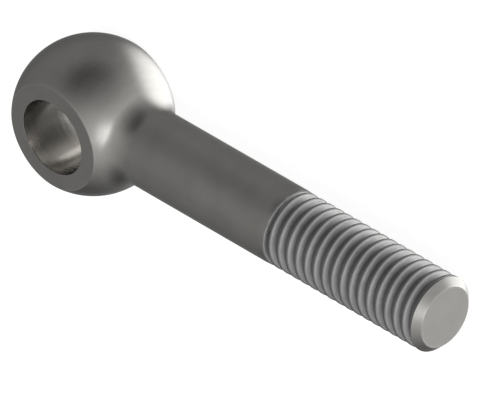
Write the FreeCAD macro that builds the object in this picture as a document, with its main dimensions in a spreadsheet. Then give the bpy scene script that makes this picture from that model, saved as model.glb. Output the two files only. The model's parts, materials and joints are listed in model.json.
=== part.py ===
"""Swing eye bolt, M10 x 60: a forged and turned steel bolt with a ball-shaped eye.

One solid. The eye is a ball with two milled flats and a cross bore for the pin that the bolt
swings on. A tangent neck joins the ball to the plain shank, and the far end takes the nut.

Frame in millimetres: origin at the centre of the eye, +X along the shank to the threaded end,
+Z up along the bore. The bolt lies on the lower flat of its eye.
"""

import FreeCAD, Part
import math
import os
import Sketcher

# Driving sizes: alias, value, what it is
SIZES = (
    ("ball_diameter", 20.0, "outside of the ball-shaped eye"),
    ("eye_width", 14.0, "across the two milled flats of the eye"),
    ("bore_diameter", 10.0, "cross bore for the pin"),
    ("bore_edge_break", 0.1, "chamfer that takes the burr off each mouth of the bore"),
    ("shank_diameter", 10.0, "plain shank"),
    ("neck_radius", 4.0, "fillet between the ball and the shank"),
    ("bolt_length", 60.0, "centre of the eye to the face of the tip"),
    ("thread_diameter", 9.9, "over the crests of the M10 thread"),
    ("thread_length", 26.0, "threaded stretch, tip chamfer included"),
    ("runout_length", 0.75, "cone from the shank down to the thread crests"),
    ("tip_chamfer", 0.9, "lead-in chamfer at the tip, along and in, down to the thread root"),
)

# Points of a sketch element, and the sketch's own origin and first axis
START, END, CENTRE = 1, 2, 3
SKETCH_ORIGIN = (-1, START)
SKETCH_X_AXIS = -1

STEP_FOLDER = "parts"
NO_LENGTH = 1e-6


def make_sheet(doc):
    """Put the driving sizes in a sheet, one row each."""
    sheet = doc.addObject("Spreadsheet::Sheet", "sizes")
    for row, (alias, value, meaning) in enumerate(SIZES, start=1):
        sheet.set(f"A{row}", alias)
        sheet.set(f"B{row}", str(value))
        sheet.setAlias(f"B{row}", alias)
        sheet.set(f"C{row}", meaning)
    doc.recompute()
    return sheet


def add_sketch(body, plane_role, name):
    """Add a sketch on one of the body's own origin planes."""
    plane = next(o for o in body.Origin.OriginFeatures if o.Role == plane_role)
    sketch = body.newObject("Sketcher::SketchObject", name)
    sketch.AttachmentSupport = [(plane, "")]
    sketch.MapMode = "FlatFace"
    return sketch


def point(along, out):
    """A point of a sketch plane."""
    return FreeCAD.Vector(along, out, 0)


def circle(centre, radius):
    """A full circle of a sketch plane."""
    return Part.Circle(centre, FreeCAD.Vector(0, 0, 1), radius)


def draw_line(sketch, start, end):
    """Add a straight element and give its number."""
    return sketch.addGeometry(Part.LineSegment(start, end))


def draw_arc(sketch, centre, radius, first_angle, last_angle):
    """Add a round element, counter-clockwise, and give its number."""
    return sketch.addGeometry(Part.ArcOfCircle(circle(centre, radius), first_angle, last_angle))


def relate(sketch, kind, *places):
    """Tie elements of a sketch together by a rule with no size."""
    sketch.addConstraint(Sketcher.Constraint(kind, *places))


def dimension(sketch, name, kind, places, formula):
    """Add a named dimension whose value follows the sheet."""
    value = float(sketch.evalExpression(formula))
    index = sketch.addConstraint(Sketcher.Constraint(kind, *places, value))
    sketch.renameConstraint(index, name)
    sketch.setExpression(f"Constraints.{name}", formula)


def draw_turned_profile(body, sheet):
    """Half section of the turned form, from the back of the ball round to the axis again."""
    ball_radius = sheet.ball_diameter / 2
    shank_radius = sheet.shank_diameter / 2
    thread_radius = sheet.thread_diameter / 2
    thread_start = sheet.bolt_length - sheet.thread_length

    # The neck arc touches the ball and the shank from outside, which places its centre
    neck_height = shank_radius + sheet.neck_radius
    neck_place = math.sqrt((ball_radius + sheet.neck_radius) ** 2 - neck_height**2)
    touch_angle = math.atan2(neck_height, neck_place)

    sketch = add_sketch(body, "XY_Plane", "turned_profile")
    ball = draw_arc(sketch, point(0, 0), ball_radius, touch_angle, math.pi)
    neck = draw_arc(
        sketch,
        point(neck_place, neck_height),
        sheet.neck_radius,
        math.pi + touch_angle,
        1.5 * math.pi,
    )
    corners = (
        point(neck_place, shank_radius),
        point(thread_start - sheet.runout_length, shank_radius),
        point(thread_start, thread_radius),
        point(sheet.bolt_length - sheet.tip_chamfer, thread_radius),
        point(sheet.bolt_length, thread_radius - sheet.tip_chamfer),
        point(sheet.bolt_length, 0),
        point(-ball_radius, 0),
    )
    straights = [draw_line(sketch, *ends) for ends in zip(corners, corners[1:])]
    shank, runout, thread, chamfer, tip, axis = straights

    relate(sketch, "Coincident", ball, CENTRE, *SKETCH_ORIGIN)
    relate(sketch, "Tangent", ball, START, neck, START)
    relate(sketch, "Tangent", neck, END, shank, START)
    for before, after in zip(straights, straights[1:]):
        relate(sketch, "Coincident", before, END, after, START)
    relate(sketch, "Coincident", axis, END, ball, END)
    relate(sketch, "PointOnObject", axis, START, SKETCH_X_AXIS)
    for level in (shank, thread, axis):
        relate(sketch, "Horizontal", level)
    relate(sketch, "Vertical", tip)

    for name, kind, places, formula in (
        ("ball_radius", "Radius", (ball,), "sizes.ball_diameter / 2"),
        ("neck_radius", "Radius", (neck,), "sizes.neck_radius"),
        ("shank_radius", "DistanceY", (*SKETCH_ORIGIN, shank, START), "sizes.shank_diameter / 2"),
        ("thread_radius", "DistanceY", (*SKETCH_ORIGIN, thread, START), "sizes.thread_diameter / 2"),
        ("bolt_length", "DistanceX", (*SKETCH_ORIGIN, tip, END), "sizes.bolt_length"),
        ("thread_length", "DistanceX", (thread, START, tip, START), "sizes.thread_length"),
        ("runout_length", "DistanceX", (runout, START, runout, END), "sizes.runout_length"),
        ("chamfer_along", "DistanceX", (chamfer, START, chamfer, END), "sizes.tip_chamfer"),
        ("chamfer_in", "DistanceY", (chamfer, END, chamfer, START), "sizes.tip_chamfer"),
    ):
        dimension(sketch, name, kind, places, formula)
    return sketch


def draw_flat_cuts(body, sheet):
    """Side view of what is milled away above and below the eye: two boxes clear past the ball."""
    reach = sheet.ball_diameter / 2
    sketch = add_sketch(body, "XZ_Plane", "flat_cuts")
    for side, name in ((1, "upper"), (-1, "lower")):
        flat_height = side * sheet.eye_width / 2
        top_height = side * sheet.ball_diameter
        corners = (
            point(-reach, flat_height),
            point(reach, flat_height),
            point(reach, top_height),
            point(-reach, top_height),
        )
        loop = [draw_line(sketch, *ends) for ends in zip(corners, corners[1:] + corners[:1])]
        flat, front, top, back = loop

        for before, after in zip(loop, loop[1:] + loop[:1]):
            relate(sketch, "Coincident", before, END, after, START)
        for level in (flat, top):
            relate(sketch, "Horizontal", level)
        for upright in (front, back):
            relate(sketch, "Vertical", upright)

        # A dimension is taken from its lower place to its higher one
        flat_places = (*SKETCH_ORIGIN, flat, START) if side > 0 else (flat, START, *SKETCH_ORIGIN)
        top_places = (*SKETCH_ORIGIN, top, START) if side > 0 else (top, START, *SKETCH_ORIGIN)
        for edge, kind, places, formula in (
            ("flat", "DistanceY", flat_places, "sizes.eye_width / 2"),
            ("top", "DistanceY", top_places, "sizes.ball_diameter"),
            ("front", "DistanceX", (*SKETCH_ORIGIN, flat, END), "sizes.ball_diameter / 2"),
            ("back", "DistanceX", (flat, START, *SKETCH_ORIGIN), "sizes.ball_diameter / 2"),
        ):
            dimension(sketch, f"{name}_{edge}", kind, places, formula)
    return sketch


def draw_bore(body, sheet):
    """The bore's circle, about the centre of the eye."""
    sketch = add_sketch(body, "XY_Plane", "bore_circle")
    bore = sketch.addGeometry(circle(point(0, 0), sheet.bore_diameter / 2))
    relate(sketch, "Coincident", bore, CENTRE, *SKETCH_ORIGIN)
    dimension(sketch, "bore_radius", "Radius", (bore,), "sizes.bore_diameter / 2")
    return sketch


def turn(doc, body, sketch):
    """Revolve the half section about the shank's axis."""
    turned = body.newObject("PartDesign::Revolution", "turned_form")
    turned.Profile = sketch
    turned.ReferenceAxis = (sketch, ["H_Axis"])
    sketch.Visibility = False
    doc.recompute()
    return turned


def cut_through(doc, body, sketch, name):
    """Cut a sketch through the body to both sides, and see that it took metal away."""
    volume_before = body.Shape.Volume
    cut = body.newObject("PartDesign::Pocket", name)
    cut.Profile = sketch
    cut.Type = "ThroughAll"
    cut.SideType = "Symmetric"
    sketch.Visibility = False
    doc.recompute()
    if not body.Shape.Volume < volume_before:
        raise RuntimeError(f"{name} cut nothing")
    return cut


def is_bore_circle(edge, bore_radius):
    """Whether an edge is a circle of the bore's radius about the bore's axis."""
    if edge.Degenerated or not isinstance(edge.Curve, Part.Circle):
        return False
    off_axis = math.hypot(edge.Curve.Center.x, edge.Curve.Center.y)
    off_radius = abs(edge.Curve.Radius - bore_radius)
    return max(off_axis, off_radius) < NO_LENGTH


def break_bore_edges(doc, body, bore, sheet):
    """Take the burr off the two mouths of the bore."""
    mouths = [
        f"Edge{number}"
        for number, edge in enumerate(bore.Shape.Edges, start=1)
        if is_bore_circle(edge, sheet.bore_diameter / 2)
    ]
    broken = body.newObject("PartDesign::Chamfer", "bore_edge_breaks")
    broken.Base = (bore, mouths)
    broken.setExpression("Size", "sizes.bore_edge_break")
    doc.recompute()
    return broken


def make_eye_bolt(doc, sheet):
    """The whole bolt: turned form, milled flats, cross bore."""
    body = doc.addObject("PartDesign::Body", "eye_bolt")
    body.Label = "eye_bolt"
    turn(doc, body, draw_turned_profile(body, sheet))
    cut_through(doc, body, draw_flat_cuts(body, sheet), "milled_flats")
    bore = cut_through(doc, body, draw_bore(body, sheet), "cross_bore")
    break_bore_edges(doc, body, bore, sheet)
    body.Placement = FreeCAD.Placement()
    return body


def check(doc, bodies):
    """Stop if a feature failed, a sketch is loose or a body isn't one sound solid."""
    for item in doc.Objects:
        if "Invalid" in item.State or "Error" in item.State:
            raise RuntimeError(f"{item.Label} failed")
        if item.isDerivedFrom("Sketcher::SketchObject") and not item.FullyConstrained:
            raise RuntimeError(f"{item.Label} isn't fully constrained")
    for body in bodies:
        shape = body.Shape
        if shape.isNull() or not shape.isValid() or len(shape.Solids) != 1:
            raise RuntimeError(f"{body.Label} isn't one sound solid")


def write(bodies):
    """Write each body to its own STEP file."""
    os.makedirs(STEP_FOLDER, exist_ok=True)
    for body in bodies:
        body.Shape.exportStep(os.path.join(STEP_FOLDER, f"{body.Label}.step"))
        box = body.Shape.optimalBoundingBox(False)
        extents = f"{box.XLength:.2f} x {box.YLength:.2f} x {box.ZLength:.2f} mm"
        print(f"{body.Label}: {extents}, {body.Shape.Volume:.1f} mm3")


def main():
    """Build the document and write its part."""
    doc = FreeCAD.newDocument("swing_eye_bolt")
    sheet = make_sheet(doc)
    bodies = [make_eye_bolt(doc, sheet)]
    doc.recompute()
    check(doc, bodies)
    write(bodies)


main()
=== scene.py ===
"""Swing eye bolt: a turned blank with a flattened ball eye, a cross bore and a rolled thread.

The part lies along +X with its eye at the origin and its bore along +Z. Sizes in the classes are
in millimetres, and meshes are made in metres.
"""

import json
import logging
import math
from dataclasses import dataclass
from enum import Enum

import bmesh
import bpy
from mathutils import Matrix, Vector


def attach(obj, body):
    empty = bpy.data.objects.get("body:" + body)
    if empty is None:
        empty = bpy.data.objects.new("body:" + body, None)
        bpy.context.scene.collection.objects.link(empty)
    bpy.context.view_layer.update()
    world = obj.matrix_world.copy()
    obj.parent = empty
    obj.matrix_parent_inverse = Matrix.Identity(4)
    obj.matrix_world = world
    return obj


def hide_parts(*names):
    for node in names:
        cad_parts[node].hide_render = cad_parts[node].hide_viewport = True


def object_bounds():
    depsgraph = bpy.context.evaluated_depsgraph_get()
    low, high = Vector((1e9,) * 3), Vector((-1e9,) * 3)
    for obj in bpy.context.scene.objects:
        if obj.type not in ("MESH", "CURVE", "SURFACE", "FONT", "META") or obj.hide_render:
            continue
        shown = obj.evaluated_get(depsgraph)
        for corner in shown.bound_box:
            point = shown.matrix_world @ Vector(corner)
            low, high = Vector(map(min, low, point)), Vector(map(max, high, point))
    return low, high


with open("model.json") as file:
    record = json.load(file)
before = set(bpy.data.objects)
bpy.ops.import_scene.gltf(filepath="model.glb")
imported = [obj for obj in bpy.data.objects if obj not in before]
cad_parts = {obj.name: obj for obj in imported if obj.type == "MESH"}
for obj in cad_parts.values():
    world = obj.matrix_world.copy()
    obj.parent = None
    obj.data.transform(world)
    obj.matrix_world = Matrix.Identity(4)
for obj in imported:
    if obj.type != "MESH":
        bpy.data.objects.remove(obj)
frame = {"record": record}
cad_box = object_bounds()

log = logging.getLogger("eye bolt")

MM = 0.001
MICRON = 0.000001
AROUND = 192  # points round the shank, thread and tip
MERGE = 0.001  # millimetres within which two points are one

Ring = list[bmesh.types.BMVert]
Section = list[tuple[float, float]]  # radius and height or distance of each ring
Place = tuple[float, float, float]
Tree = bpy.types.NodeTree
Socket = bpy.types.NodeSocket

# The nodes of a tree by name, in order. A calculation has its operation and values, and any other
# node its kind, settings and links. A value that is text names an input of the tree or an earlier
# node.
Recipe = dict[str, tuple]


def linear(colour: str) -> tuple[float, float, float, float]:
    """Turns an sRGB hex colour to linear values.

    Args:
        colour: Six hex digits, with or without a leading #.

    Returns:
        Red, green, blue and an alpha of 1.
    """
    digits = colour.lstrip("#")
    parts = [int(digits[start : start + 2], 16) / 255 for start in (0, 2, 4)]
    red, green, blue = (
        part / 12.92 if part <= 0.04045 else ((part + 0.055) / 1.055) ** 2.4 for part in parts
    )
    return (red, green, blue, 1.0)


def evenly(first: float, last: float, steps: int) -> list[float]:
    """Gives evenly spaced values from the first to the last, both taken in."""
    return [first + (last - first) * step / steps for step in range(steps + 1)]


def add_node(
    tree: Tree, kind: str, settings: dict | None = None, links: dict | None = None
) -> bpy.types.Node:
    """Adds a node with its settings and what feeds its inputs.

    Args:
        tree: The node tree that takes the node.
        kind: The node's type, such as ShaderNodeMath.
        settings: Property names with their values.
        links: Input names or numbers with a value, or with the output socket that feeds them.

    Returns:
        The new node.
    """
    node = tree.nodes.new(kind)
    for name, value in (settings or {}).items():
        setattr(node, name, value)
    for name, value in (links or {}).items():
        socket = node.inputs[name]
        if isinstance(value, Socket):
            tree.links.new(value, socket)
        else:
            socket.default_value = value
    return node


def limits(given: tuple, result: tuple = (0.0, 1.0)) -> dict:
    """Names a range that is given and the range that it is turned to, as a Map Range node does."""
    return {"From Min": given[0], "From Max": given[1], "To Min": result[0], "To Max": result[1]}


@dataclass(frozen=True)
class FrameSizes:
    """The bolt's main sizes in millimetres, as the frame has them.

    Attributes:
        ball_radius: Radius of the ball.
        width: Distance between the flats.
        length: From the eye's centre to the tip.
        bore_radius: Radius of the cross bore.
        shank_radius: Radius of the plain shank.
        crest_radius: Radius of the thread over its crests.
    """

    ball_radius: float
    width: float
    length: float
    bore_radius: float
    shank_radius: float
    crest_radius: float

    @classmethod
    def read(cls) -> "FrameSizes":
        """Reads the sizes from the frame's box, to 0.01 mm, and from the radii of its mounts.

        Returns:
            The sizes.
        """
        low, high = ([round(part / MM, 2) for part in corner] for corner in cad_box)
        radii = {mount["name"]: mount["dims"].get("r_mm") for mount in frame["record"]["mounts"]}
        return cls(
            ball_radius=-low[0],
            width=high[2] - low[2],
            length=high[0],
            bore_radius=radii["eye_bore"],
            shank_radius=radii["shank"],
            crest_radius=radii["thread"],
        )


class Zone(Enum):
    """The parts of the bolt's skin that are made in different ways, with their material index."""

    TURNED = 0
    MILLED = 1
    REAMED = 2
    ROLLED = 3
    FACED = 4


class Lay(Enum):
    """What a tool's marks follow: each mark lies where this length is the same.

    The value is what the place on the part is multiplied with before its length is taken.
    """

    ALONG_SHANK = (1.0, 0.0, 0.0)
    ALONG_BORE = (0.0, 0.0, 1.0)
    ROUND_SHANK = (0.0, 1.0, 1.0)
    ROUND_BORE = (1.0, 1.0, 0.0)


@dataclass(frozen=True)
class Band:
    """Where a second colour of the steel shows, by one length on the part.

    Attributes:
        along: The length that the band is measured by.
        start: The length at which it begins.
        full: The length at which it has its whole strength.
        amount: Its whole strength.
    """

    along: Lay
    start: float
    full: float
    amount: float


@dataclass(frozen=True)
class SteelFinish:
    """Plain dark carbon steel as one machining step leaves it: a satin metal with no paint.

    Attributes:
        name: The material's name.
        body: Colour of the steel, darker on the thread, where it paints shade on the crests.
        worn_and_lit: Colour where handling has rubbed it bright, and the thread flanks' partly painted
            light.
        sunk: Colour where it is stained darker, and painted shade in the thread's roots and on the chamfer.
        lay: What the tool marks follow.
        feed: Distance between two tool marks. A real one is 0.1 to 0.2 mm and too fine to show.
        depth: Height of the grain and the marks in micrometres.
        roughness: Lowest and highest roughness over the grain and the marks.
        wear_and_sheen: Where the worn colour shows. On the thread's flanks it paints light.
        stain_and_shade: Where the sunk colour shows as painted shade, on top of its faint mottling.
        glancing: Tint of what the steel mirrors at a glancing angle.
        marks_from: Place that the tool marks are measured from. One beyond the part keeps marks
            along an axis from being mirrored at the origin.
        mottle_width: Width of the mottling, that of a fingertip's rub.
        mottle_range: Strength of the mottling at which its stain starts, and where it is full.
        mottle_stain: How much of the sunk colour the mottling brings.
        grain_width: Width of the blasted grain. The real one is about 0.05 mm and too fine to show.
        relief_range: Height of grain and marks that gives the lowest roughness, and the highest.
    """

    name: str
    body: str
    worn_and_lit: str
    sunk: str
    lay: Lay
    feed: float
    depth: float
    roughness: tuple[float, float]
    wear_and_sheen: Band
    stain_and_shade: Band | None = None
    glancing: str = "#e7e7e7"
    marks_from: Place = (0.0, 0.0, 0.0)
    mottle_width: float = 4.0
    mottle_range: tuple[float, float] = (0.35, 0.75)
    mottle_stain: float = 0.5
    grain_width: float = 0.2
    relief_range: tuple[float, float] = (0.3, 0.7)

    def length(self, tree: Tree, place: Socket, lay: Lay, start: Place = (0.0, 0.0, 0.0)) -> Socket:
        """Adds the length that a lay measures, in millimetres.

        Args:
            tree: The material's node tree.
            place: Object coordinates.
            lay: What to measure.
            start: Place in millimetres to measure from.

        Returns:
            The socket that carries the length.
        """
        scaled = add_node(
            tree,
            "ShaderNodeVectorMath",
            {"operation": "MULTIPLY_ADD", "label": "lay in mm"},
            {
                0: place,
                1: [part / MM for part in lay.value],
                2: [-part * shift for part, shift in zip(lay.value, start)],
            },
        )
        return add_node(
            tree, "ShaderNodeVectorMath", {"operation": "LENGTH"}, {0: scaled.outputs["Vector"]}
        ).outputs["Value"]

    def band_mask(self, tree: Tree, place: Socket, band: Band) -> Socket:
        """Adds a band's strength.

        Args:
            tree: The material's node tree.
            place: Object coordinates.
            band: The band.

        Returns:
            The socket that carries the strength.
        """
        return add_node(
            tree,
            "ShaderNodeMapRange",
            {"interpolation_type": "SMOOTHSTEP", "label": "where it shows"},
            {"Value": self.length(tree, place, band.along)}
            | limits((band.start, band.full), (0.0, band.amount)),
        ).outputs["Result"]

    def colour(self, tree: Tree, place: Socket) -> Socket:
        """Adds the steel's colour with its mottling, wear and stains, and the painted light and shade on the
        thread and chamfer.

        Args:
            tree: The material's node tree.
            place: Object coordinates.

        Returns:
            The socket that carries the colour.
        """
        mottle = add_node(
            tree,
            "ShaderNodeTexNoise",
            {"label": "mottling"},
            {"Vector": place, "Scale": 1 / (self.mottle_width * MM), "Detail": 3.0, "Roughness": 0.6},
        ).outputs["Fac"]
        # The wear band; on the thread's flanks it paints light.
        wear_and_sheen = add_node(
            tree,
            "ShaderNodeMath",
            {"operation": "MULTIPLY", "use_clamp": True, "label": "broken wear"},
            {0: self.band_mask(tree, place, self.wear_and_sheen), 1: mottle},
        )
        worn_and_lit = add_node(
            tree,
            "ShaderNodeMix",
            {"data_type": "RGBA", "label": "worn steel"},
            {"Factor": wear_and_sheen.outputs["Value"], 6: linear(self.body), 7: linear(self.worn_and_lit)},
        )
        stain_and_shade = add_node(
            tree,
            "ShaderNodeMapRange",
            {"label": "stains"},
            {"Value": mottle} | limits(self.mottle_range, (0.0, self.mottle_stain)),
        ).outputs["Result"]
        # The stain band paints shade in the thread's roots and on the tip's chamfer.
        if self.stain_and_shade:
            stain_and_shade = add_node(
                tree,
                "ShaderNodeMath",
                {"operation": "MAXIMUM", "use_clamp": True, "label": "stains and painted_shade"},
                {0: stain_and_shade, 1: self.band_mask(tree, place, self.stain_and_shade)},
            ).outputs["Value"]
        return add_node(
            tree,
            "ShaderNodeMix",
            {"data_type": "RGBA", "label": "stained steel"},
            {"Factor": stain_and_shade, 6: worn_and_lit.outputs[2], 7: linear(self.sunk)},
        ).outputs[2]

    def relief(self, tree: Tree, place: Socket) -> Socket:
        """Adds the height of the blasted grain and the tool marks.

        Args:
            tree: The material's node tree.
            place: Object coordinates.

        Returns:
            The socket that carries the height, from 0 to 1.
        """
        grain = add_node(
            tree,
            "ShaderNodeTexNoise",
            {"label": "grain"},
            {"Vector": place, "Scale": 1 / (self.grain_width * MM), "Detail": 2.0, "Roughness": 0.5},
        )
        marks = add_node(
            tree,
            "ShaderNodeTexNoise",
            {"noise_dimensions": "1D", "label": "tool marks"},
            {
                "W": self.length(tree, place, self.lay, self.marks_from),
                "Scale": 1 / self.feed,
                "Detail": 2.0,
            },
        )
        return add_node(
            tree,
            "ShaderNodeMix",
            {"data_type": "FLOAT", "label": "grain and marks"},
            {"Factor": 0.5, 2: grain.outputs["Fac"], 3: marks.outputs["Fac"]},
        ).outputs[0]

    def make(self) -> bpy.types.Material:
        """Builds the material.

        Returns:
            The finished material.
        """
        material = bpy.data.materials.new(self.name)
        material.use_nodes = True
        tree = material.node_tree
        tree.nodes.clear()
        place = add_node(tree, "ShaderNodeTexCoord").outputs["Object"]
        relief = self.relief(tree, place)
        roughness = add_node(
            tree,
            "ShaderNodeMapRange",
            {"label": "roughness"},
            {"Value": relief} | limits(self.relief_range, self.roughness),
        )
        bump = add_node(
            tree,
            "ShaderNodeBump",
            {"label": "tool marks and grain"},
            {"Strength": 1.0, "Distance": self.depth * MICRON, "Height": relief},
        )
        steel = add_node(
            tree,
            "ShaderNodeBsdfPrincipled",
            links={
                "Base Color": self.colour(tree, place),
                "Metallic": 1.0,
                "Roughness": roughness.outputs["Result"],
                "Specular Tint": linear(self.glancing),
                "Normal": bump.outputs["Normal"],
            },
        )
        add_node(tree, "ShaderNodeOutputMaterial", links={"Surface": steel.outputs["BSDF"]})
        return material


def steel_finishes() -> dict[Zone, SteelFinish]:
    """Names the finish of each zone.

    Returns:
        One finish for each zone.
    """
    darkened = {"body": "#6b6a68", "worn_and_lit": "#8f8e8c", "sunk": "#5f5e5c"}
    return {
        # Turned and satin blasted: an even dark grey with faint rings round the shank, rubbed a
        # little brighter beside the flats.
        Zone.TURNED: SteelFinish(
            name="steel_turned_satin",
            **darkened,
            lay=Lay.ALONG_SHANK,
            feed=0.5,
            depth=2.0,
            roughness=(0.27, 0.35),
            wear_and_sheen=Band(Lay.ALONG_BORE, 6.6, 7.0, 0.15),
            marks_from=(-20.0, 0.0, 0.0),
        ),
        # Face milled: flat and even, with arcs round the bore and a rubbed rim.
        Zone.MILLED: SteelFinish(
            name="steel_face_milled",
            **darkened,
            lay=Lay.ROUND_BORE,
            feed=0.35,
            depth=1.5,
            roughness=(0.28, 0.34),
            wear_and_sheen=Band(Lay.ROUND_BORE, 6.85, 7.15, 0.3),
        ),
        # Reamed bare after the rest was darkened: brighter and smoother, with lines round the bore,
        # and brightest at its mouths, where the pin rubs.
        Zone.REAMED: SteelFinish(
            name="steel_reamed_bright",
            body="#9c9a97",
            worn_and_lit="#dcd9d5",
            sunk="#92908d",
            lay=Lay.ALONG_BORE,
            feed=0.5,
            depth=0.5,
            roughness=(0.14, 0.2),
            wear_and_sheen=Band(Lay.ALONG_BORE, 5.2, 7.0, 1.4),
            glancing="#ffffff",
            marks_from=(0.0, 0.0, -20.0),
        ),
        # Rolled and dull: flanks lighter, partly the dies' burnish and partly painted light, crests
        # painted dark and roots darker as painted shade. Its burr keeps it dark at a glancing angle too.
        Zone.ROLLED: SteelFinish(
            name="steel_rolled_thread",
            # A darker body than the other finishes: painted shade on the crests.
            body="#5a5a5a",
            worn_and_lit="#8c8c8c",
            sunk="#5e5e5e",
            lay=Lay.ROUND_SHANK,
            feed=0.3,
            depth=1.0,
            roughness=(0.58, 0.66),
            # The flanks: partly the dies' burnish, partly painted light.
            wear_and_sheen=Band(Lay.ROUND_SHANK, 4.93, 4.72, 2.6),
            # The roots: painted shade.
            stain_and_shade=Band(Lay.ROUND_SHANK, 4.4, 4.15, 1.0),
            glancing="#606060",
        ),
        # Faced on the lathe: rings round the middle of the tip, rubbed towards its edge. The chamfer
        # beyond the edge is painted darker, as painted shade that tones down its highlight.
        Zone.FACED: SteelFinish(
            name="steel_faced_tip",
            **darkened,
            lay=Lay.ROUND_SHANK,
            feed=0.4,
            depth=1.5,
            roughness=(0.33, 0.41),
            wear_and_sheen=Band(Lay.ROUND_SHANK, 3.7, 4.05, 0.3),
            # Painted shade on the chamfer.
            stain_and_shade=Band(Lay.ROUND_SHANK, 4.06, 4.2, 0.5),
        ),
    }


class Shell:
    """The bolt's skin while it is put together: rings of points with faces between them."""

    sharp_angle: float = 42.0  # degrees between two faces from which their edge is left crisp

    def __init__(self) -> None:
        """Starts with no points."""
        self.mesh = bmesh.new()

    def ring(self, points: list[Vector]) -> Ring:
        """Adds points.

        Args:
            points: Places in millimetres.

        Returns:
            The new vertices, in the same order.
        """
        return [self.mesh.verts.new(point * MM) for point in points]

    def round_rings(self, section: Section) -> list[Ring]:
        """Adds rings round the shank's axis.

        Args:
            section: Radius and distance from the eye's centre of each ring.

        Returns:
            The rings, each from +Y towards +Z.
        """
        turns = evenly(0.0, 2 * math.pi, AROUND)[:-1]
        return [
            self.ring([Vector((place, radius * math.cos(turn), radius * math.sin(turn))) for turn in turns])
            for radius, place in section
        ]

    def strips(self, rings: list[Ring], zone: Zone, closed: bool = True) -> None:
        """Fills between each ring and the next.

        Args:
            rings: Rings of the same count, in order.
            zone: How this part of the skin is made.
            closed: Whether the rings' ends meet.
        """
        for first, second in zip(rings, rings[1:]):
            count = len(first)
            for at in range(count if closed else count - 1):
                after = (at + 1) % count
                face = self.mesh.faces.new((first[at], first[after], second[after], second[at]))
                face.material_index = zone.value

    def cap(self, ring: Ring, middle: Vector, zone: Zone) -> None:
        """Closes a ring with triangles to its middle.

        Args:
            ring: The ring to close.
            middle: Place of the middle in millimetres.
            zone: How this part of the skin is made.
        """
        centre = self.mesh.verts.new(middle * MM)
        for at, vertex in enumerate(ring):
            face = self.mesh.faces.new((vertex, ring[(at + 1) % len(ring)], centre))
            face.material_index = zone.value

    def add(self, mesh: bpy.types.Mesh) -> list[bmesh.types.BMFace]:
        """Takes in another mesh's points and faces.

        Args:
            mesh: The mesh to take in.

        Returns:
            The faces that it brought.
        """
        known = len(self.mesh.faces)
        self.mesh.from_mesh(mesh)
        self.mesh.faces.ensure_lookup_table()
        return self.mesh.faces[known:]

    def close(self, name: str) -> bpy.types.Mesh:
        """Merges the rings that meet, turns the faces outwards and gives the finished mesh.

        Args:
            name: The mesh's name.

        Returns:
            The closed mesh.
        """
        bmesh.ops.remove_doubles(self.mesh, verts=self.mesh.verts, dist=MERGE * MM)
        bmesh.ops.recalc_face_normals(self.mesh, faces=self.mesh.faces)
        open_edges = [edge for edge in self.mesh.edges if len(edge.link_faces) != 2]
        log.info("%s: %d faces, %d open edges", name, len(self.mesh.faces), len(open_edges))
        for face in self.mesh.faces:
            face.smooth = True
        for edge in self.mesh.edges:
            edge.smooth = edge.calc_face_angle(0.0) < math.radians(self.sharp_angle)
        mesh = bpy.data.meshes.new(name)
        self.mesh.to_mesh(mesh)
        self.mesh.free()
        return mesh


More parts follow.
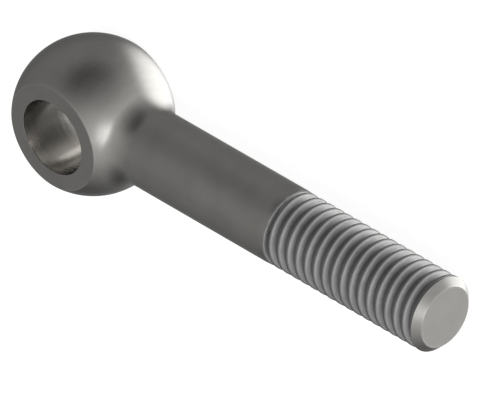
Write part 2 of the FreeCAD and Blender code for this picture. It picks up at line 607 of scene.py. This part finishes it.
@dataclass
class Eye:
    """The ball with its two milled flats and its reamed cross bore.

    Attributes:
        shell: The skin that it is built in.
        ball_radius: Radius of the ball.
        width: Distance between the flats.
        bore_radius: Radius of the bore.
        rim_rounding: Rounding between the ball and a flat.
        edge_break: Rounding at a mouth of the bore.
        corner_steps: Faces across a rounding.
        flat_hold: Width of the narrow strips at a flat's edges, which keep its shading flat.
        bore_hold: Width of those at the bore's ends.
        patch_angle: Degrees that the patch round the neck reaches to each side of +X.
        patch_steps: Faces along each side of the patch, a quarter of those round the neck.
        patch_layers: Faces between the neck and the patch's outline.
        back_steps: Faces round the ball behind the patch.
    """

    shell: Shell
    ball_radius: float
    width: float
    bore_radius: float
    rim_rounding: float = 0.05
    edge_break: float = 0.02
    corner_steps: int = 4
    flat_hold: float = 0.12
    bore_hold: float = 0.15
    patch_angle: float = 52.0
    patch_steps: int = AROUND // 4
    patch_layers: int = 12
    back_steps: int = 118

    @property
    def top_latitude(self) -> float:
        """Latitude in degrees where the ball meets the rounding of the flat's rim."""
        inside = self.width / 2 - self.rim_rounding
        return math.degrees(math.asin(inside / (self.ball_radius - self.rim_rounding)))

    def on_ball(self, longitude: float, latitude: float) -> Vector:
        """Gives a place on the ball.

        Args:
            longitude: Degrees from +X towards +Y.
            latitude: Degrees from the bore's middle plane towards +Z.

        Returns:
            The place in millimetres.
        """
        turn, rise = math.radians(longitude), math.radians(latitude)
        flat = self.ball_radius * math.cos(rise)
        return Vector((flat * math.cos(turn), flat * math.sin(turn), self.ball_radius * math.sin(rise)))

    def back_longitudes(self) -> list[float]:
        """Gives the longitudes behind the patch, in degrees, from its +Y side to its -Y side."""
        return evenly(self.patch_angle, 360 - self.patch_angle, self.back_steps)

    def longitudes(self) -> list[float]:
        """Gives the longitudes of a whole ring in degrees, over the patch and round the back."""
        front = evenly(-self.patch_angle, self.patch_angle, self.patch_steps)
        return front[:-1] + self.back_longitudes()[:-1]

    def level_rings(self, section: Section, side: float = 1) -> list[Ring]:
        """Adds rings round the bore's axis.

        Args:
            section: Radius and height of each ring.
            side: 1 for the upper side, -1 for the lower.

        Returns:
            The rings, in the section's order.
        """
        turns = [math.radians(turn) for turn in self.longitudes()]
        return [
            self.shell.ring(
                [Vector((radius * math.cos(turn), radius * math.sin(turn), side * height)) for turn in turns]
            )
            for radius, height in section
        ]

    def corner(self, middle: tuple[float, float], radius: float, start: float, end: float) -> Section:
        """Gives the section of a rounded edge.

        Args:
            middle: Radius and height of the rounding's middle.
            radius: The rounding's radius.
            start: Where it starts, in degrees above the level.
            end: Where it ends, in degrees above the level.

        Returns:
            Radius and height of each point.
        """
        turns = evenly(math.radians(start), math.radians(end), self.corner_steps)
        return [
            (middle[0] + radius * math.cos(turn), middle[1] + radius * math.sin(turn)) for turn in turns
        ]

    def build_side(self, side: float) -> Ring:
        """Builds the rim's rounding, the flat and the bore's edge on one side.

        Args:
            side: 1 for the upper side, -1 for the lower.

        Returns:
            The ring where the bore's wall starts.
        """
        top = self.width / 2
        ball_less = self.ball_radius - self.rim_rounding
        outer = ball_less * math.cos(math.radians(self.top_latitude))
        inner = self.bore_radius + self.edge_break
        rim = self.corner((outer, top - self.rim_rounding), self.rim_rounding, self.top_latitude, 90)
        radii = (outer - self.flat_hold, (outer + inner) / 2, inner + self.flat_hold)
        mouth = self.corner((inner, top - self.edge_break), self.edge_break, 90, 180)

        turned = self.level_rings(rim, side)
        milled = self.level_rings([(radius, top) for radius in radii] + mouth, side)
        self.shell.strips(turned, Zone.TURNED)
        self.shell.strips(turned[-1:] + milled, Zone.MILLED)
        return milled[-1]

    def build_bore(self, upper: Ring, lower: Ring) -> None:
        """Builds the bore's wall.

        Args:
            upper: The bore's upper ring.
            lower: The bore's lower ring.
        """
        end = self.width / 2 - self.edge_break
        heights = (end - self.bore_hold, end / 2, 0.0, -end / 2, self.bore_hold - end)
        between = self.level_rings([(self.bore_radius, height) for height in heights])
        self.shell.strips([upper] + between + [lower], Zone.REAMED)

    def build_back(self) -> None:
        """Builds the ball's belt behind the patch that carries the neck."""
        turns = self.back_longitudes()
        rings = [
            self.shell.ring([self.on_ball(turn, latitude) for turn in turns])
            for latitude in evenly(-self.top_latitude, self.top_latitude, self.patch_steps)
        ]
        self.shell.strips(rings, Zone.TURNED, closed=False)

    def patch_outline(self) -> list[Vector]:
        """Gives the outline of the patch that carries the neck.

        Returns:
            Its points in millimetres, from the middle of its +Y side towards +Z.
        """
        wide, high = self.patch_angle, self.top_latitude
        shares = evenly(-1.0, 1.0, self.patch_steps)[:-1]
        outline = [(wide, high * share) for share in shares]
        outline += [(-wide * share, high) for share in shares]
        outline += [(-wide, -high * share) for share in shares]
        outline += [(wide * share, -high) for share in shares]
        half = self.patch_steps // 2
        started = outline[half:] + outline[:half]
        return [self.on_ball(longitude, latitude) for longitude, latitude in started]

    def build_patch(self, neck: Ring) -> None:
        """Builds the ball between the neck's ring and the patch's outline.

        Args:
            neck: The neck's ring on the ball.
        """
        outline = self.patch_outline()
        rings = [neck]
        for share in evenly(0.0, 1.0, self.patch_layers)[1:]:
            points = [
                (vertex.co / MM).lerp(edge, share).normalized() * self.ball_radius
                for vertex, edge in zip(neck, outline)
            ]
            rings.append(self.shell.ring(points))
        self.shell.strips(rings, Zone.TURNED)

    def build(self, neck: Ring) -> None:
        """Builds the whole eye.

        Args:
            neck: The neck's ring on the ball.
        """
        self.build_bore(upper=self.build_side(1), lower=self.build_side(-1))
        self.build_back()
        self.build_patch(neck)


@dataclass
class Shank:
    """The turned shank with the fillet that joins it to the ball.

    Attributes:
        shell: The skin that it is built in.
        radius: Radius of the shank.
        ball_radius: Radius of the ball that it stands on.
        end: Distance from the eye's centre to where the thread's skin starts.
        neck_radius: Radius of the fillet.
        neck_steps: Faces along the fillet.
        plain_steps: Faces along the shank.
        hold: Length of the short strips at the shank's ends, which keep its shading straight.
    """

    shell: Shell
    radius: float
    ball_radius: float
    end: float
    neck_radius: float = 4.0
    neck_steps: int = 16
    plain_steps: int = 7
    hold: float = 0.3

    def build(self) -> Ring:
        """Builds the neck and the shank.

        Returns:
            The neck's ring on the ball.
        """
        # The fillet's middle lies out from the shank's axis and along it from the eye's centre.
        out = self.radius + self.neck_radius
        along = math.sqrt((self.ball_radius + self.neck_radius) ** 2 - out**2)
        section = [
            (out - self.neck_radius * math.sin(turn), along - self.neck_radius * math.cos(turn))
            for turn in evenly(math.atan2(out, along), math.pi / 2, self.neck_steps)
        ]
        places = evenly(along + self.hold, self.end - self.hold, self.plain_steps)
        section += [(self.radius, place) for place in places + [self.end]]
        rings = self.shell.round_rings(section)
        self.shell.strips(rings, Zone.TURNED)
        return rings[0]


@dataclass
class RolledThread:
    """The M10 x 1.5 right-hand thread with its run-out and the chamfer at the tip.

    Attributes:
        shell: The skin that it is built in.
        crest_radius: Radius over the crests.
        shank_radius: Radius of the plain shank.
        length: From the eye's centre to the tip.
        pitch: Distance from one crest to the next.
        crest_width: Width of a crest's flat. The crest lies 0.05 mm below the full diameter, so it is
            a little wider than an eighth of the pitch.
        flank_angle: Degrees from the shank's axis to a flank.
        flank_share: Share of the pitch from a crest's middle to where the root's arc starts.
        root_arc: Radius of the root's arc.
        threaded: Length from the tip to where the blank has come down to the crest's radius.
        lead: Plain length that the thread's skin takes in before that.
        rolled_at: Where the rolled finish starts, measured from the end of the run-out cone.
        run_out: Where the groove starts to show and where it is full, measured in the same way.
        chamfer: Length and height of the chamfer at the tip.
        run_in: Distances from the chamfer at which the groove starts to fade and has gone.
        last_crest: Distance from the chamfer to the last crest, on the +Y side.
        rows_in_pitch: Faces along one pitch.
        chamfer_rings: Places of the chamfer's rings, as shares of it. The ones beside its edges keep
            its shading straight.
        tip_rounding: How much a rounding takes off the radius of the tip's face.
        rounding_steps: Faces across that rounding.
        face_rings: Radii of the rings on the tip's face, as shares of its own.
    """

    shell: Shell
    crest_radius: float
    shank_radius: float
    length: float
    pitch: float = 1.5
    crest_width: float = 0.245
    flank_angle: float = 60.0
    flank_share: float = 0.375
    root_arc: float = 0.2165
    threaded: float = 26.0
    lead: float = 1.0
    rolled_at: float = -0.07
    run_out: tuple[float, float] = (-0.05, 0.4)
    chamfer: float = 0.9
    run_in: tuple[float, float] = (0.32, 0.04)
    last_crest: float = 0.42
    rows_in_pitch: int = 16
    chamfer_rings: tuple[float, ...] = (0.0, 0.1, 0.5, 0.99)
    tip_rounding: float = 0.006
    rounding_steps: int = 3
    face_rings: tuple[float, ...] = (0.996, 0.87, 0.38, 0.08)

    @property
    def full_from(self) -> float:
        """Where the run-out cone ends and the crests begin."""
        return self.length - self.threaded

    @property
    def start(self) -> float:
        """Where the thread's skin starts."""
        return self.full_from - self.lead

    @property
    def end(self) -> float:
        """Where the chamfer starts."""
        return self.length - self.chamfer

    def inputs(self, finish: bpy.types.Material) -> dict[str, tuple]:
        """Gives the tree's inputs.

        Args:
            finish: The thread's material.

        Returns:
            Each input's socket kind and value, by its name, with lengths in metres.
        """
        last_crest = self.end - self.last_crest
        turns_before = math.ceil((last_crest - self.start + self.pitch) / self.pitch)
        first_crest = last_crest - turns_before * self.pitch
        rows = math.ceil((self.end - first_crest) / self.pitch * self.rows_in_pitch)
        lengths = {
            "Pitch": self.pitch,
            "Crest Radius": self.crest_radius,
            "Crest Width": self.crest_width,
            "Shank Radius": self.shank_radius,
            "Root Arc": self.root_arc,
            "First Crest": first_crest,
            "Start": self.start,
            "End": self.end,
            "Cone From": self.full_from - self.pitch / 2,
            "Cone To": self.full_from,
            "Run-out From": self.full_from + self.run_out[0],
            "Run-out To": self.full_from + self.run_out[1],
            "Run-in From": self.end - self.run_in[0],
            "Run-in To": self.end - self.run_in[1],
        }
        inputs = {name: ("NodeSocketFloat", value * MM) for name, value in lengths.items()}
        inputs["Columns"] = ("NodeSocketInt", AROUND)
        inputs["Rows"] = ("NodeSocketInt", rows)
        inputs["Rows In Pitch"] = ("NodeSocketInt", self.rows_in_pitch)
        inputs["Finish"] = ("NodeSocketMaterial", finish)
        return inputs

    def grid_recipe(self) -> Recipe:
        """Gives the nodes that lay a grid along the thread.

        Returns:
            The nodes.
        """
        return {
            # Rows are counted along the shank, and columns round it.
            "points along": ("ADD", "Rows", 1.0),
            "points round": ("ADD", "Columns", 1.0),
            "grid": (
                "GeometryNodeMeshGrid", {}, {"Vertices X": "points round", "Vertices Y": "points along"}
            ),
            "index": ("GeometryNodeInputIndex", {}, {}),
            "safe index": ("ADD", "index", 0.5),
            "columns in": ("DIVIDE", "safe index", "points along"),
            "column": ("FLOOR", "columns in"),
            "points before": ("MULTIPLY", "column", "points along"),
            "row": ("SUBTRACT", "index", "points before"),

            # Each row climbs with the helix, so that the crests run along rows of faces.
            "turn": ("DIVIDE", "column", "Columns"),
            "pitches in": ("DIVIDE", "row", "Rows In Pitch"),
            "turns in": ("ADD", "turn", "pitches in"),
            "loose place": ("MULTIPLY_ADD", "turns in", "Pitch", "First Crest"),
            "past start": ("MAXIMUM", "loose place", "Start"),
            "place": ("MINIMUM", "past start", "End"),

            # Distance to the nearest crest, measured along the shank.
            "crest here": ("MULTIPLY_ADD", "turn", "Pitch", "First Crest"),
            "beyond crest": ("SUBTRACT", "place", "crest here"),
            "half pitch": ("MULTIPLY", "Pitch", 0.5),
            "away": ("PINGPONG", "beyond crest", "half pitch"),
        }

    def groove_recipe(self) -> Recipe:
        """Gives the nodes that work out the groove's depth: a flat crest, its flanks and a round root.

        Returns:
            The nodes.
        """
        slope = math.tan(math.radians(self.flank_angle))
        arc_share = math.cos(math.radians(self.flank_angle))
        return {
            "crest half": ("MULTIPLY", "Crest Width", 0.5),
            "past crest": ("SUBTRACT", "away", "crest half"),
            "down flank": ("MAXIMUM", "past crest", 0.0),
            "flank depth": ("MULTIPLY", "down flank", slope),
            "flank end": ("MULTIPLY", "Pitch", self.flank_share),
            "flank width": ("SUBTRACT", "flank end", "crest half"),
            "flank height": ("MULTIPLY", "flank width", slope),

            # The arc meets the flank where its tangent has the flank's slope.
            "from root": ("SUBTRACT", "half pitch", "away"),
            "arc square": ("POWER", "Root Arc", 2.0),
            "root square": ("POWER", "from root", 2.0),
            "square left": ("SUBTRACT", "arc square", "root square"),
            "square kept": ("MAXIMUM", "square left", 0.0),
            "arc": ("SQRT", "square kept"),
            "arc at flank": ("MULTIPLY", "Root Arc", arc_share),
            "arc below": ("SUBTRACT", "arc", "arc at flank"),
            "root depth": ("ADD", "flank height", "arc below"),

            "flank limit": ("ADD", "flank end", MERGE * MM),
            "in root": (
                "FunctionNodeCompare",
                {"data_type": "FLOAT", "operation": "GREATER_THAN"},
                {"A": "away", "B": "flank limit"},
            ),
            "depth": (
                "GeometryNodeSwitch",
                {"input_type": "FLOAT"},
                {"Switch": "in root", "False": "flank depth", "True": "root depth"},
            ),
        }

    def rolling_recipe(self) -> Recipe:
        """Gives the nodes that roll the grid round the shank with its groove.

        Returns:
            The nodes.
        """
        smooth = {"interpolation_type": "SMOOTHSTEP"}
        return {
            # The groove fades in after the plain shank and out before the chamfer.
            "run-out": (
                "ShaderNodeMapRange", smooth, {"Value": "place"} | limits(("Run-out From", "Run-out To"))
            ),
            "run-in": (
                "ShaderNodeMapRange",
                smooth,
                {"Value": "place"} | limits(("Run-in From", "Run-in To"), (1.0, 0.0)),
            ),
            "blank radius": (
                "ShaderNodeMapRange",
                {},
                {"Value": "place"} | limits(("Cone From", "Cone To"), ("Shank Radius", "Crest Radius")),
            ),
            "fade": ("MULTIPLY", "run-out", "run-in"),
            "cut": ("MULTIPLY", "depth", "fade"),
            "radius": ("SUBTRACT", "blank radius", "cut"),

            "angle": ("MULTIPLY", "turn", 2 * math.pi),
            "cosine": ("COSINE", "angle"),
            "sine": ("SINE", "angle"),
            "sideways": ("MULTIPLY", "radius", "cosine"),
            "upwards": ("MULTIPLY", "radius", "sine"),
            "point": ("ShaderNodeCombineXYZ", {}, {"X": "place", "Y": "sideways", "Z": "upwards"}),
            "rolled": ("GeometryNodeSetPosition", {}, {"Geometry": "grid", "Position": "point"}),
            "real": ("GeometryNodeRealizeInstances", {}, {"Geometry": "rolled"}),
            "dressed": ("GeometryNodeSetMaterial", {}, {"Geometry": "real", "Material": "Finish"}),
        }

    def make_tree(self, inputs: dict[str, tuple]) -> Tree:
        """Builds the node tree that rolls a grid into the thread, with its nodes from the recipes.

        Args:
            inputs: The inputs, as inputs() gives them.

        Returns:
            The tree.
        """
        tree = bpy.data.node_groups.new("rolled thread", "GeometryNodeTree")
        for name, (kind, _) in inputs.items():
            tree.interface.new_socket(name, in_out="INPUT", socket_type=kind)
        tree.interface.new_socket("Geometry", in_out="OUTPUT", socket_type="NodeSocketGeometry")
        known = {socket.name: socket for socket in add_node(tree, "NodeGroupInput").outputs}
        recipe = self.grid_recipe() | self.groove_recipe() | self.rolling_recipe()
        for name, (kind, *rest) in recipe.items():
            if kind.isupper():
                kind, settings, links = "ShaderNodeMath", {"operation": kind}, dict(enumerate(rest))
            else:
                settings, links = rest
            fed = {key: known[value] if isinstance(value, str) else value for key, value in links.items()}
            known[name] = add_node(tree, kind, settings | {"label": name}, fed).outputs[0]
        add_node(tree, "NodeGroupOutput", links={"Geometry": known["dressed"]})
        return tree

    def make_skin(self, finish: bpy.types.Material) -> bpy.types.Mesh:
        """Runs the tree and gives its result as a plain mesh.

        Args:
            finish: The thread's material.

        Returns:
            The thread's open skin, from the shank to the chamfer.
        """
        carrier = bpy.data.objects.new("thread_rolling", bpy.data.meshes.new("thread_rolling"))
        bpy.context.scene.collection.objects.link(carrier)
        modifier = carrier.modifiers.new("rolled thread", "NODES")
        inputs = self.inputs(finish)
        modifier.node_group = self.make_tree(inputs)
        for socket in modifier.node_group.interface.items_tree:
            if socket.name in inputs:
                modifier[socket.identifier] = inputs[socket.name][1]
        graph = bpy.context.evaluated_depsgraph_get()
        skin = bpy.data.meshes.new_from_object(carrier.evaluated_get(graph))
        carrier.modifiers.remove(modifier)
        bpy.data.objects.remove(carrier)
        return skin

    def tip_section(self) -> Section:
        """Gives the section of the chamfer, the small rounding after it and the tip's face.

        Returns:
            Radius and distance from the eye's centre of each ring, from the thread inwards.
        """
        section = [
            (self.crest_radius - self.chamfer * share, self.end + self.chamfer * share)
            for share in self.chamfer_rings
        ]
        # The rounding turns from the chamfer's slope to the face.
        slope = math.radians(45)
        tip_radius = self.crest_radius - self.chamfer
        radius = self.tip_rounding / math.tan(slope / 2)
        middle = (tip_radius - self.tip_rounding, self.length - radius)
        section += [
            (middle[0] + radius * math.sin(turn), middle[1] + radius * math.cos(turn))
            for turn in evenly(slope, 0.0, self.rounding_steps)
        ]
        return section + [(tip_radius * share, self.length) for share in self.face_rings]

    def build(self, finish: bpy.types.Material) -> None:
        """Builds the thread, its chamfer and the tip's face.

        Args:
            finish: The thread's material.
        """
        rolled_from = (self.full_from + self.rolled_at) * MM
        for face in self.shell.add(self.make_skin(finish)):
            plain = face.calc_center_median().x < rolled_from
            face.material_index = (Zone.TURNED if plain else Zone.ROLLED).value
        rings = self.shell.round_rings(self.tip_section())
        self.shell.strips(rings, Zone.FACED)
        self.shell.cap(rings[-1], Vector((self.length, 0, 0)), Zone.FACED)


@dataclass
class SwingEyeBolt:
    """The whole bolt, one solid piece of steel.

    Attributes:
        sizes: Its main sizes.
    """

    sizes: FrameSizes

    def build(self) -> bpy.types.Object:
        """Builds and dresses the bolt and hangs it on the frame.

        Returns:
            The bolt's object.
        """
        sizes = self.sizes
        materials = {zone: finish.make() for zone, finish in steel_finishes().items()}
        shell = Shell()
        eye = Eye(shell, sizes.ball_radius, sizes.width, sizes.bore_radius)
        thread = RolledThread(shell, sizes.crest_radius, sizes.shank_radius, sizes.length)
        shank = Shank(shell, sizes.shank_radius, sizes.ball_radius, thread.start)

        eye.build(neck=shank.build())
        thread.build(materials[Zone.ROLLED])
        mesh = shell.close("eye_bolt_steel")
        for zone in Zone:
            mesh.materials.append(materials[zone])
        bolt = bpy.data.objects.new("eye_bolt_steel", mesh)
        bpy.context.scene.collection.objects.link(bolt)
        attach(bolt, "root")
        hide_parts("eye_bolt")
        return bolt


@dataclass(frozen=True)
class SoftLight:
    """A round soft light far away, drawn in the world.

    Attributes:
        name: What it is.
        toward: Direction from the part to its middle.
        level: Radiance that it adds. A negative one is a dark flag.
        full: Angle from its middle, in degrees, up to which it has its full level.
        gone: Angle at which it ends.
    """

    name: str
    toward: Place
    level: float
    full: float
    gone: float

    def add(self, tree: Tree, way: Socket, total: Socket | float) -> Socket:
        """Adds this light to the world's radiance.

        Args:
            tree: The world's node tree.
            way: Direction that a ray looks in.
            total: Radiance so far.

        Returns:
            The radiance with this light.
        """
        aim = Vector(self.toward).normalized()
        near = add_node(
            tree,
            "ShaderNodeVectorMath",
            {"operation": "DOT_PRODUCT", "label": self.name},
            {0: way, 1: aim},
        )
        amount = add_node(
            tree,
            "ShaderNodeMapRange",
            {"interpolation_type": "SMOOTHSTEP"},
            {"Value": near.outputs["Value"]}
            | limits((math.cos(math.radians(self.gone)), math.cos(math.radians(self.full)))),
        )
        return add_node(
            tree,
            "ShaderNodeMath",
            {"operation": "MULTIPLY_ADD"},
            {0: amount.outputs["Result"], 1: self.level, 2: total},
        ).outputs[0]


@dataclass
class Studio:
    """A pale light table in a soft white room, with the camera.

    Attributes:
        room_level: Radiance of the bare room.
        lights: The soft lights and dark flags that stand in it.
        room_colour: Colour of the room's light.
        background: Colour that the camera sees behind the table.
        floor_height: Height of the table's top, a hair below the flat that lies on it.
        floor_half: Half the table's width.
        floor_colour: Colour of the table's glass.
        floor_glow: How much the table glows to the camera, which brings it up to white.
        lens: Focal length of the camera.
        sensor: Width of its picture plane.
        sight: Nearest and farthest metres that it sees.
        camera_place: Its place in millimetres.
    """

    room_level: float = 0.736
    lights: tuple[SoftLight, ...] = (
        SoftLight("dark end beside the eye", (0.197, 0.965, 0.171), -0.85, 1.0, 51.2),
        SoftLight("dark end below the eye", (0.193, -0.971, 0.140), -0.89, 0.6, 55.5),
        SoftLight("dark corner behind", (-0.692, -0.444, -0.569), -0.38, 9.4, 50.9),
        SoftLight("lit table", (0.198, -0.073, -0.978), 5.97, 14.5, 44.3),
        SoftLight("front softbox", (0.910, 0.060, 0.410), 5.00, 10.0, 20.0),
        SoftLight("bright wall", (0.980, -0.068, 0.187), 1.34, 4.6, 129.3),
        SoftLight("window ahead", (0.960, 0.160, -0.220), 1.0, 6.0, 26.0),
        SoftLight("low strip", (0.870, 0.060, -0.490), 3.7, 7.0, 24.0),
        SoftLight("dark gap over the table", (0.600, 0.060, -0.800), -2.6, 2.0, 20.0),
        SoftLight("side lamp", (0.450, -0.760, 0.450), 0.20, 5.0, 25.0),
        SoftLight("window behind", (-0.577, 0.156, 0.802), 0.20, 5.0, 38.0),
        SoftLight("wall behind", (-0.620, 0.760, -0.100), 0.13, 6.0, 42.0),
    )
    room_colour: str = "#fffffe"
    background: str = "#ffffff"
    floor_height: float = -7.01
    floor_half: float = 2500.0
    floor_colour: str = "#707070"
    floor_glow: float = 0.9
    lens: float = 1302.0
    sensor: float = 36.0
    sight: tuple[float, float] = (0.1, 20.0)
    camera_place: Place = (1288.40, 1262.13, 1261.44)

    def make_world(self) -> None:
        """Makes the room: white to the camera, soft light to everything else."""
        world = bpy.data.worlds.new("soft room")
        bpy.context.scene.world = world
        world.use_nodes = True
        tree = world.node_tree
        tree.nodes.clear()
        way = add_node(tree, "ShaderNodeTexCoord").outputs["Generated"]
        total = self.room_level
        for light in self.lights:
            total = light.add(tree, way, total)
        level = add_node(tree, "ShaderNodeMath", {"operation": "MAXIMUM"}, {0: total, 1: 0.0})
        room = add_node(
            tree,
            "ShaderNodeBackground",
            links={"Color": linear(self.room_colour), "Strength": level.outputs[0]},
        )
        white = add_node(
            tree, "ShaderNodeBackground", links={"Color": linear(self.background), "Strength": 1.0}
        )
        ray = add_node(tree, "ShaderNodeLightPath").outputs["Is Camera Ray"]
        seen = add_node(
            tree, "ShaderNodeMixShader", links={0: ray, 1: room.outputs[0], 2: white.outputs[0]}
        )
        add_node(tree, "ShaderNodeOutputWorld", links={"Surface": seen.outputs[0]})

    def make_glass(self) -> bpy.types.Material:
        """Makes the opal glass of the table: matt and pale, with its own glow to the camera.

        Returns:
            The material.
        """
        material = bpy.data.materials.new("opal_glass_table")
        material.use_nodes = True
        tree = material.node_tree
        tree.nodes.clear()
        matt = add_node(tree, "ShaderNodeBsdfDiffuse", links={"Color": linear(self.floor_colour)})
        ray = add_node(tree, "ShaderNodeLightPath").outputs["Is Camera Ray"]
        level = add_node(
            tree, "ShaderNodeMath", {"operation": "MULTIPLY"}, {0: ray, 1: self.floor_glow}
        )
        glow = add_node(tree, "ShaderNodeEmission", links={"Strength": level.outputs[0]})
        both = add_node(tree, "ShaderNodeAddShader", links={0: matt.outputs[0], 1: glow.outputs[0]})
        add_node(tree, "ShaderNodeOutputMaterial", links={"Surface": both.outputs[0]})
        return material

    def make_floor(self) -> bpy.types.Object:
        """Makes the table that the bolt lies on.

        Returns:
            The table's object.
        """
        half, height = self.floor_half * MM, self.floor_height * MM
        mesh = bpy.data.meshes.new("floor")
        corners = [(-half, -half), (half, -half), (half, half), (-half, half)]
        mesh.from_pydata([(x, y, height) for x, y in corners], [], [(0, 1, 2, 3)])
        mesh.materials.append(self.make_glass())
        floor = bpy.data.objects.new("floor", mesh)
        bpy.context.scene.collection.objects.link(floor)
        # Opal glass lets the lamp under it through, so metal mirrors the lamp and not the glass.
        floor.visible_glossy = False
        floor.visible_transmission = False
        floor.visible_shadow = False
        return floor

    def make_camera(self) -> bpy.types.Object:
        """Makes the camera, which looks along a cube's diagonal with +Y up in the picture.

        Returns:
            The camera's object.
        """
        data = bpy.data.cameras.new("camera")
        data.lens = self.lens
        data.sensor_width = self.sensor
        data.clip_start, data.clip_end = self.sight
        camera = bpy.data.objects.new("camera", data)
        bpy.context.scene.collection.objects.link(camera)
        back = Vector((1, 1, 1)).normalized()
        right = Vector((1, 0, -1)).normalized()
        up = back.cross(right)
        turned = Matrix((right, up, back)).transposed().to_4x4()
        camera.matrix_world = Matrix.Translation(Vector(self.camera_place) * MM) @ turned
        bpy.context.scene.camera = camera
        return camera

    def build(self) -> None:
        """Builds the room, the table and the camera."""
        self.make_world()
        log.info("room: %d soft lights", len(self.lights))
        log.info("table: %s", self.make_floor().name)
        log.info("camera: %s", self.make_camera().name)
        bpy.context.scene.view_settings.view_transform = "Standard"


def main() -> None:
    """Builds the bolt and the studio, in order."""
    logging.basicConfig(level=logging.INFO, format="%(name)s: %(message)s")
    bolt = SwingEyeBolt(FrameSizes.read()).build()
    log.info("%s: %d faces", bolt.name, len(bolt.data.polygons))
    Studio().build()


if __name__ == "__main__":
    main()
